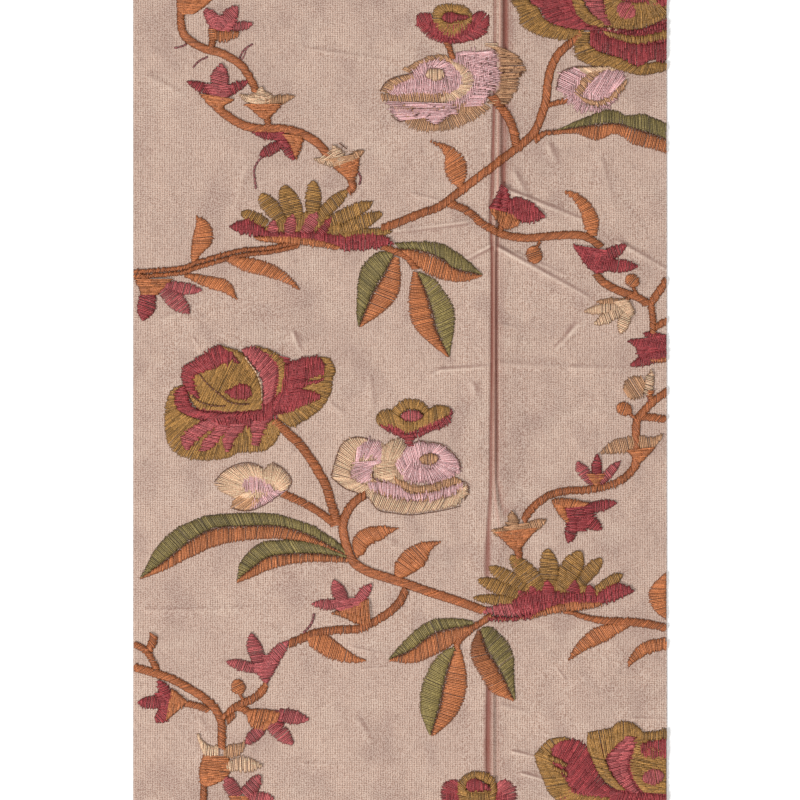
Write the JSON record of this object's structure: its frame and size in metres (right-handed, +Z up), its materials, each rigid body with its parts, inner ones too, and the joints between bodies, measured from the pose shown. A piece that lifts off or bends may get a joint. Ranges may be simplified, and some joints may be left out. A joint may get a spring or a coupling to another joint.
{
  "type": "embroidered silk fabric",
  "caption": "Flat cut length of pale rose-beige silk with a pinched crease and puckers, embroidered in satin stitch with trailing stems, leaves and blossoms.",
  "frame": {"origin": "on the surface that the cloth lies on, under the middle of the sheet", "axes": "+X across the cloth, +Y along the cloth towards the end where the crease is tightest, +Z up from the surface"},
  "size_m": [0.16, 0.243, 0.0028],
  "materials": {
    "silk": "plain-woven silk, soft sheen"
  },
  "bodies": {
    "root": {"silk_cloth": "silk"}
  },
  "joints": []
}
